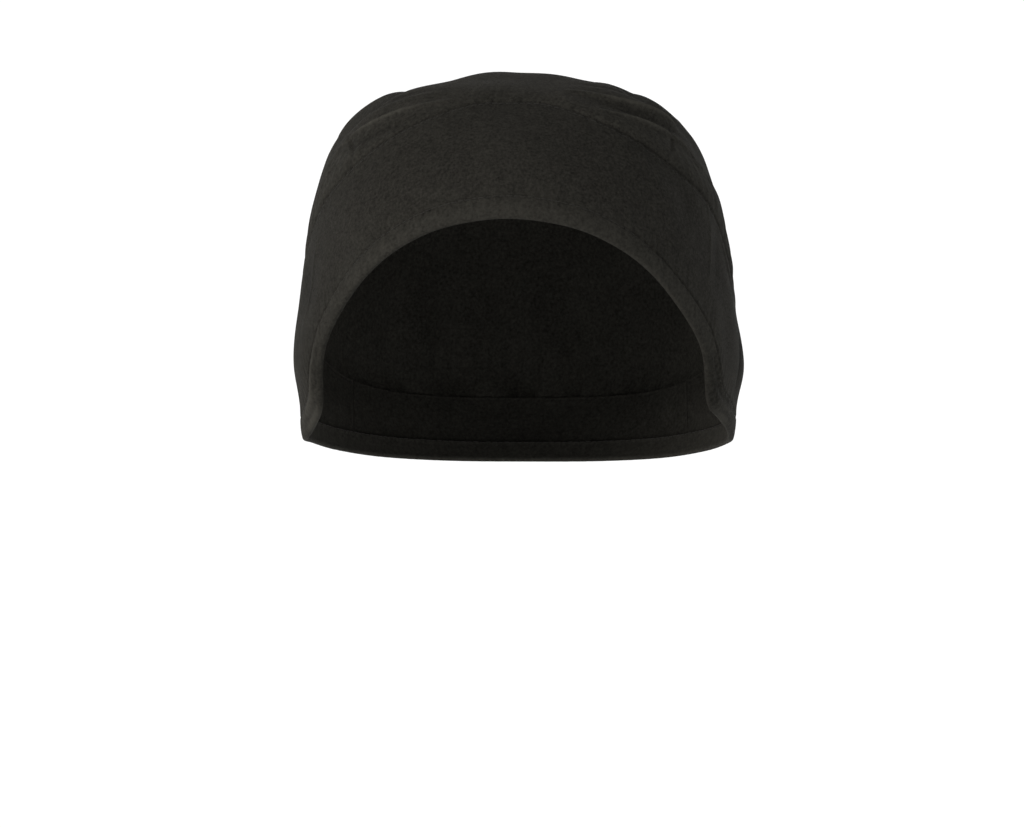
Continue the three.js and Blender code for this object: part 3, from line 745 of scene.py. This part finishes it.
class Graph:
    """A material's node graph with one Principled shader."""

    def __init__(self, name):
        self.material = bpy.data.materials.new(name)
        self.material.use_nodes = True
        self.tree = self.material.node_tree
        self.tree.nodes.clear()
        self.shader = self.node("ShaderNodeBsdfPrincipled")
        out = self.node("ShaderNodeOutputMaterial")
        self.tree.links.new(self.shader.outputs[0], out.inputs["Surface"])

    def node(self, kind, settings=None, sockets=None):
        """A node of any kind: its settings first, then a value or a link for each named or numbered
        socket.
        """
        node = self.tree.nodes.new(kind)
        for key, value in (settings or {}).items():
            setattr(node, key, value)
        for key, value in (sockets or {}).items():
            self.feed(node.inputs[key], value)
        return node

    def feed(self, socket, value):
        """Sets a socket to a number or colour, or links it to another node."""
        if isinstance(value, Value):
            self.tree.links.new(value.socket, socket)
        elif isinstance(value, bpy.types.NodeSocket):
            self.tree.links.new(value, socket)
        else:
            socket.default_value = value

    def math(self, operation, a, b=0.0):
        return Value(self, self.node("ShaderNodeMath", {"operation": operation}, {0: a, 1: b}).outputs[0])

    def mix(self, share, a, b):
        """Colour a turning to colour b as share goes from 0 to 1."""
        node = self.node("ShaderNodeMix", {"data_type": "RGBA"})
        self.feed(node.inputs[0], share)
        self.feed(node.inputs[6], a)
        self.feed(node.inputs[7], b)
        return node.outputs[2]

    def clamp(self, value, low, high):
        return self.math("MAXIMUM", self.math("MINIMUM", value, high), low)

    def noise(self, where, scale, detail, roughness):
        sockets = {"Vector": where, "Scale": scale, "Detail": detail, "Roughness": roughness}
        return Value(self, self.node("ShaderNodeTexNoise", None, sockets).outputs["Fac"])

    def bump(self, height, strength, distance):
        sockets = {"Strength": strength, "Distance": distance, "Height": height}
        return self.node("ShaderNodeBump", None, sockets).outputs["Normal"]

    def finished(self, sockets):
        """The material, once the shader's sockets are fed or set."""
        for key, value in sockets.items():
            self.feed(self.shader.inputs[key], value)
        return self.material


# Noises of the cloth and the thread, each a scale in lumps a metre, a detail and a roughness.
WANDER, SLUB, MOTTLE = (260.0, 2.0, 0.5), (900.0, 3.0, 0.6), (860.0, 3.0, 0.75)
BLOTCH, DRIFT, TWIST = (210.0, 2.0, 0.5), (38.0, 3.0, 0.5), (2600.0, 2.0, 0.6)

# How much the weave and each noise tint the cloth, and how much its standing out does, as painted highlight
# and shade.
WEAVE_TINT, SLUB_TINT, MOTTLE_TINT, BLOTCH_TINT, DRIFT_TINT = 0.22, 0.5, 3.2, 0.6, 0.35
CREST_TINT, CREST_SHARE = 0.42, 0.85


def tones(colour, *factors):
    """A colour times each factor, as opaque colours."""
    return [(*(np.array(colour) * factor), 1.0) for factor in factors]


def cloth_material(name, cloth, shade):
    """Plain-woven black cloth. Two sets of threads cross over and under each other, each
    thread's height a half sine across it and a raised cosine along it. Mottling tints it, what
    stands out is painted lighter as a highlight, and what lies in a hollow is painted darker as shade.
    """
    g = Graph(name)
    uv = g.node("ShaderNodeUVMap", {"uv_map": "Weave"}).outputs["UV"]
    where = g.node("ShaderNodeTexCoord").outputs["Object"]
    parts = g.node("ShaderNodeSeparateXYZ", None, {"Vector": uv})
    wander = g.noise(uv, *WANDER) - 0.5
    a = Value(g, parts.outputs["X"]) / cloth.weave_pitch + wander * 0.9
    b = Value(g, parts.outputs["Y"]) / cloth.weave_pitch + wander * 0.7

    def threads_of(over, along, flip):
        across = g.math("SINE", g.math("FRACT", over) * np.pi)
        beat = g.math("COSINE", (along - 0.5 + g.math("FLOOR", over)) * np.pi)
        return across * (0.62 + beat * (0.38 * flip))

    weave = g.math("MAXIMUM", threads_of(a, b, 1), threads_of(b, a, -1))
    slub, mottle = g.noise(uv, *SLUB), g.noise(where, *MOTTLE) - 0.5
    blotch, drift = g.noise(where, *BLOTCH) - 0.5, g.noise(where, *DRIFT) - 0.5
    painted_shading = Value(g, g.node("ShaderNodeAttribute", {"attribute_name": "painted_shading"}).outputs["Fac"])
    grain = weave * WEAVE_TINT + (slub - 0.5) * SLUB_TINT + mottle * MOTTLE_TINT
    grain = grain + blotch * BLOTCH_TINT + drift * DRIFT_TINT
    # Painted highlight and shade: what stands out is painted lighter and what lies low darker, over the
    # mottling.
    tone = 0.55 + grain + g.clamp(painted_shading * CREST_TINT, -0.55, 0.8) * CREST_SHARE
    # Painted light: shade scales the whole colour, so that some pieces are lighter copies of the same cloth.
    dark, light, painted_highlight, painted_hollow_shade = tones(np.array(cloth.colour) * shade, 0.45, 1.75, 3.0, 0.12)
    colour = g.mix(tone * 0.62, dark, light)
    # Painted highlight: the highest ridges are painted much lighter.
    colour = g.mix(g.clamp(painted_shading * 0.5 - 0.42, 0.0, 0.32), colour, painted_highlight)
    return g.finished({
        # Painted shade: the deepest hollows are painted almost black.
        "Base Color": g.mix(g.clamp(-0.55 - painted_shading * 0.45, 0.0, 0.7), colour, painted_hollow_shade),
        "Roughness": 0.93 - weave * 0.12,
        "Normal": g.bump(weave + slub * 0.5, 0.55, 0.12 * MM),
        "Specular IOR Level": 0.03,
        "Sheen Weight": 0.015,
        "Sheen Roughness": 0.45,
        "Sheen Tint": (0.8, 0.76, 0.7, 1.0),
    })


def thread_material(name, cloth):
    """Twisted sewing thread: fine light and dark grain, a little glossier than the cloth."""
    g = Graph(name)
    grain = g.noise(g.node("ShaderNodeTexCoord").outputs["Object"], *TWIST)
    return g.finished({
        "Base Color": g.mix(grain, *tones(cloth.thread_colour, 0.6, 1.5)),
        "Roughness": 0.55 + grain * 0.3,
        "Normal": g.bump(grain, 0.4, 0.05 * MM),
        "Specular IOR Level": 0.2,
    })


def stage_material():
    """Pale matt backdrop that glows a little, so that it stays white behind a black cap."""
    return Graph("Stage_White").finished({
        "Base Color": (STAGE_GREY, STAGE_GREY, STAGE_GREY, 1.0),
        "Roughness": 1.0,
        "Specular IOR Level": 0.0,
        "Emission Color": (1.0, 1.0, 1.0, 1.0),
        "Emission Strength": STAGE_GLOW,
    })


def dress(obj, material, slot, *nodes):
    """Gives a piece its material and its place in the CAD frame."""
    obj.data.materials.append(material)
    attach(obj, "root")
    if nodes:
        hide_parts(*nodes)
    return obj


def current_form(context):
    return WornForm(context.scene.cap_form, context.scene.cap_cloth)


def crown_shell(form, seam_azimuth, start, rows, depth):
    """One face of the crown's wall, from start up to the pole at the top, at a depth under the
    outer face: its points, faces, UVs and heights for painted highlight and shade, and the points of its
    rim.
    """
    columns = len(start)
    share = (np.arange(rows) / rows) ** 1.35
    elevation = start[:, None] + (90 - start[:, None]) * share
    azimuth = np.append(np.broadcast_to(seam_azimuth[:, None], elevation.shape), 0.0)
    elevation = np.append(elevation, 90.0)
    # worn is how far the cloth stands out, which the material turns into painted highlight and shade.
    relief, worn = crown_relief(form, azimuth, elevation, depth == 0)
    normal = form.outward(azimuth, elevation)
    normal[-1] = (0, 0, 1)
    points = form.place(azimuth, elevation, relief) - normal * depth
    flat = np.radians(90 - elevation) * form.top
    uv = np.stack([flat * np.sin(np.radians(azimuth)), flat * np.cos(np.radians(azimuth))], -1)
    i, j = np.meshgrid(np.arange(columns), np.arange(rows - 1), indexing="ij")
    here, right = i * rows + j, (i + 1) % columns * rows + j
    quads = np.stack([here, right, right + 1, here + 1], -1)
    fan = np.stack([quads[:, -1, 3], quads[:, -1, 2], np.full(columns, columns * rows)], -1)
    turn = -1 if depth else 1
    return points, [quads.reshape(-1, 4)[:, ::turn], fan[:, ::turn]], uv, worn, quads[:, 0, :2]


class CAP_OT_crown(bpy.types.Operator):
    """Builds the loose crown, from the band's seam to the top of the head and down inside."""

    bl_idname = "cap.crown"
    bl_label = "Crown"

    def execute(self, context):
        form, cloth = current_form(context), context.scene.cap_cloth
        stations = ring_stations(cloth.columns)
        azimuth, seam = form.direction(stations, form.read("length", stations))
        start = seam + np.degrees(SEAM_CRACK / form.size.crown_rise)
        outer = crown_shell(form, azimuth, start, CROWN_ROWS, 0)
        inner = crown_shell(form, azimuth, start, CROWN_INNER_ROWS, cloth.crown_wall)
        points, faces, uv, worn, (rim, inner_rim) = zip(outer, inner)
        base = len(points[0])
        inner_rim = inner_rim + base
        bridge = np.stack([rim[:, 0], inner_rim[:, 0], inner_rim[:, 1], rim[:, 1]], -1)
        faces = [*faces[0], *(block + base for block in faces[1]), bridge]
        # worn holds heights for the painted highlight and shade, in millimetres.
        uv, worn = np.concatenate(uv), np.concatenate(worn) / MM
        obj = add_mesh("Crown_Cloth", np.concatenate(points), faces, [uv[f] for f in faces], worn)
        # Painted light: the crown's cloth is painted 17% lighter than the band's, as its top faces the
        # light.
        dress(obj, cloth_material("Crown_Weave", cloth, 1.17), "crown_cloth", "crown")
        return {"FINISHED"}


def band_piece(context, name, start, end, rows):
    """A strip of cloth between the hem and the top seam, from one station to another."""
    form, cloth = current_form(context), context.scene.cap_cloth
    columns = round(cloth.columns * (end - start) / (2 * LAST_STATION))
    stations = np.linspace(start, end, columns + 1)
    return cloth_strip(form, name, stations, rows, cloth.band_wall, band_relief)


class CAP_OT_front_band(bpy.types.Operator):
    """Builds the tall front band, from behind one ear over the brow to behind the other."""

    bl_idname = "cap.front_band"
    bl_label = "Front band"

    def execute(self, context):
        obj = band_piece(context, "FrontBand_Cloth", -BAND_END, BAND_END, BAND_ROWS)
        material = cloth_material("Band_Weave", context.scene.cap_cloth, 1.0)
        dress(obj, material, "band_cloth", "front_band")
        return {"FINISHED"}


class CAP_OT_nape_band(bpy.types.Operator):
    """Builds the plain band at the nape, between the front band's two ends."""

    bl_idname = "cap.nape_band"
    bl_label = "Nape band"

    def execute(self, context):
        start, end = BAND_END + END_CRACK, 2 * LAST_STATION - BAND_END - END_CRACK
        obj = band_piece(context, "NapeBand_Cloth", start, end, NAPE_ROWS)
        material = cloth_material("Nape_Weave", context.scene.cap_cloth, 1.0)
        dress(obj, material, "nape_cloth", "nape_band")
        return {"FINISHED"}


class CAP_OT_hem(bpy.types.Operator):
    """Builds the turned hem round the opening: up its outer face, and down inside it from its raw
    edge.
    """

    bl_idname = "cap.hem"
    bl_label = "Hem"

    def execute(self, context):
        form, cloth = current_form(context), context.scene.cap_cloth
        stations = ring_stations(cloth.columns)
        nose = np.radians(np.linspace(0, 180, 9))[1:-1]
        half, inside = cloth.hem_wall / 2, cloth.hem_wall
        side = np.linspace(cloth.hem_width, half, HEM_ROWS)
        above = np.concatenate([side, half * (1 - np.sin(nose)), side[::-1]])[::-1]
        depth = np.concatenate([0 * side, half * (1 - np.cos(nose)), 0 * side + inside])[::-1]
        st, above, depth = np.broadcast_arrays(stations[:, None], above, depth)
        # worn holds heights for the painted highlight and shade.
        relief, worn = hem_relief(form, st, above)
        uvs = np.stack([form.run_length(st), np.where(depth > half, -above, above)], -1)
        uvs = closed_round(form, np.concatenate([uvs, uvs[:, :1]], 1), True)
        obj = swept("Hem_Cloth", form.strip(st, above, relief, depth), uvs, worn / MM, True)
        # Painted light: the hem's cloth is painted 3% lighter than the band's.
        dress(obj, cloth_material("Hem_Weave", cloth, 1.03), "hem_cloth", "hem_casing")
        return {"FINISHED"}


def stitch_line(form, above, draw, relief, depth):
    """Middles, directions and outward normals of the stitches round the cap on a line at a
    height above the edge, on the outer face or at a depth under it. The harder the thread
    draws, the deeper it lies.
    """
    stations = form.spaced(above, form.cloth.stitch_length)
    rise, _ = relief(form, stations, above(stations))
    azimuth, elevation = form.direction(stations, above(stations))
    ends = (stations - STITCH_STEP, stations + STITCH_STEP)
    behind, ahead = (form.place(*form.direction(end, above(end))) for end in ends)
    unit = lambda rays: rays / np.linalg.norm(rays, axis=1, keepdims=True)
    along, out = unit(ahead - behind), form.outward(azimuth, elevation)
    out = unit(out - along * np.sum(out * along, axis=1, keepdims=True))
    lift = (STITCH_LIFT - STITCH_SINK * drawn(draw, stations))[:, None]
    middles = form.place(azimuth, elevation, rise) + out * (-depth - lift if depth else lift)
    return middles, along, -out if depth else out


class CAP_OT_stitches(bpy.types.Operator):
    """Builds the machine stitches along the hem, on both its faces, and along the band's top seam.
    """

    bl_idname = "cap.stitches"
    bl_label = "Stitches"

    def execute(self, context):
        form, cloth = current_form(context), context.scene.cap_cloth
        material = thread_material("Thread_Black", cloth)
        hem_line = lambda station: np.full_like(station, cloth.hem_stitch)
        seam_line = lambda station: form.read("length", station) - cloth.seam_stitch
        span, inside = STITCH_SHARE * cloth.stitch_length, cloth.hem_wall
        lines = (
            ("HemStitches_Outer", hem_line, HEM_DRAW, hem_relief, 0, 0.1, "hem_cloth"),
            ("SeamStitches", seam_line, SEAM_DRAW, band_relief, 0, 0.1, "band_cloth"),
            ("HemStitches_Inner", hem_line, INNER_DRAW, hem_relief, inside, 0.12, "hem_cloth"),
        )
        for name, above, draw, relief, depth, arch, slot in lines:
            where = stitch_line(form, above, draw, relief, depth)
            obj = threads(name, *where, span, cloth.thread_width, arch * MM)
            dress(obj, material, slot)
        return {"FINISHED"}


class CAP_OT_stage(bpy.types.Operator):
    """Builds the pale floor, which curves up all round, the soft lights and the camera."""

    bl_idname = "cap.stage"
    bl_label = "Stage"

    def execute(self, context):
        stage = context.scene.cap_stage
        turn, level = np.radians(np.linspace(0, 90, 17)), [0] * len(FLOOR_RINGS)
        bent = stage.stage_reach - STAGE_BEND * (1 - np.sin(turn))
        radius = np.concatenate([FLOOR_RINGS, bent, [stage.stage_reach]])
        height = np.concatenate([level, STAGE_BEND * (1 - np.cos(turn)), [STAGE_BEND + STAGE_WALL]])
        height, around = height - stage.floor_depth, np.arange(STAGE_SIDES) * 2 * np.pi / STAGE_SIDES
        ring = np.stack([np.cos(around), np.sin(around), 0 * around], -1)
        points = ring[:, None] * radius[:, None] + np.outer(height, (0, 0, 1))
        m = len(radius)
        i, j = np.meshgrid(np.arange(STAGE_SIDES), np.arange(m - 1), indexing="ij")
        here, right = i * m + j, (i + 1) % STAGE_SIDES * m + j
        quads = np.stack([right, right + 1, here + 1, here], -1)
        disc = np.stack([here[:, 0], right[:, 0], np.full(STAGE_SIDES, STAGE_SIDES * m)], -1)
        points = np.concatenate([points.reshape(-1, 3), [[0, 0, -stage.floor_depth]]])
        floor = add_mesh("Stage_Floor", points, [quads.reshape(-1, 4), disc])
        floor.data.materials.append(stage_material())

        world = bpy.data.worlds.new("Stage_World")
        world.use_nodes = True
        glow = world.node_tree.nodes["Background"].inputs
        glow["Color"].default_value = (1.0, 1.0, 1.0, 1.0)
        glow["Strength"].default_value = WORLD_GLOW
        context.scene.world = world

        lights = (
            ("Light_Key", (-2.2, -1.6, 0.45), 1.4, stage.key_power, (1.0, 0.955, 0.925)),
            ("Light_Fill", (1.9, -1.5, 0.2), 1.6, stage.fill_power, (0.97, 0.985, 1.0)),
            ("Light_Top", (-0.3, 0.2, 1.8), 1.6, stage.top_power, (1.0, 1.0, 1.0)),
        )
        target = np.array([0, 0, -0.08])
        for name, place, size, power, tinge in lights:
            light = bpy.data.lights.new(name, "AREA")
            light.shape, light.size, light.energy, light.color = "DISK", size, power, tinge
            obj = bpy.data.objects.new(name, light)
            obj.location = place
            obj.rotation_euler = look_along(target - np.array(place))
            context.scene.collection.objects.link(obj)

        camera = bpy.data.cameras.new("Camera")
        camera.sensor_width = SENSOR_WIDTH
        camera.lens = SENSOR_WIDTH * stage.camera_distance / stage.frame_width
        camera.clip_end = 50.0
        obj = bpy.data.objects.new("Camera", camera)
        obj.location = (stage.camera_aside, -stage.camera_distance, stage.camera_height)
        obj.rotation_euler = look_along(np.array([0, 1.0, 0]))
        context.scene.collection.objects.link(obj)
        context.scene.camera = obj
        context.scene.view_settings.view_transform = "Standard"
        return {"FINISHED"}


def look_along(ray):
    """Euler angles that point an object's -Z along a ray, with its +Y as near up as can be."""
    return Vector(ray).to_track_quat("-Z", "Y").to_euler()


OPERATORS = (CAP_OT_crown, CAP_OT_front_band, CAP_OT_nape_band, CAP_OT_hem, CAP_OT_stitches, CAP_OT_stage)


class CAP_PT_panel(bpy.types.Panel):
    """Lists the cap's sizes, cloth and stage, and a button for each piece."""

    bl_idname = "CAP_PT_panel"
    bl_label = "Scrub cap"
    bl_space_type = "VIEW_3D"
    bl_region_type = "UI"
    bl_category = "Scrub cap"

    def draw(self, context):
        for group in (context.scene.cap_form, context.scene.cap_cloth, context.scene.cap_stage):
            box = self.layout.box()
            for key in group.bl_rna.properties.keys():
                if key not in ("rna_type", "name"):
                    box.prop(group, key)
        for operator in OPERATORS:
            self.layout.operator(operator.bl_idname)


GROUPS = (("cap_form", CapForm), ("cap_cloth", CapCloth), ("cap_stage", CapStage))


def register():
    for key, group in GROUPS:
        bpy.utils.register_class(group)
        setattr(bpy.types.Scene, key, PointerProperty(type=group))
    for cls in (*OPERATORS, CAP_PT_panel):
        bpy.utils.register_class(cls)


def unregister():
    for cls in (CAP_PT_panel, *reversed(OPERATORS)):
        bpy.utils.unregister_class(cls)
    for key, group in reversed(GROUPS):
        delattr(bpy.types.Scene, key)
        bpy.utils.unregister_class(group)


def main():
    """Registers the classes, and builds every piece and the stage.
    """
    register()
    bpy.ops.cap.stage()
    bpy.ops.cap.crown()
    bpy.ops.cap.front_band()
    bpy.ops.cap.nape_band()
    bpy.ops.cap.hem()
    bpy.ops.cap.stitches()


if __name__ == "__main__":
    main()
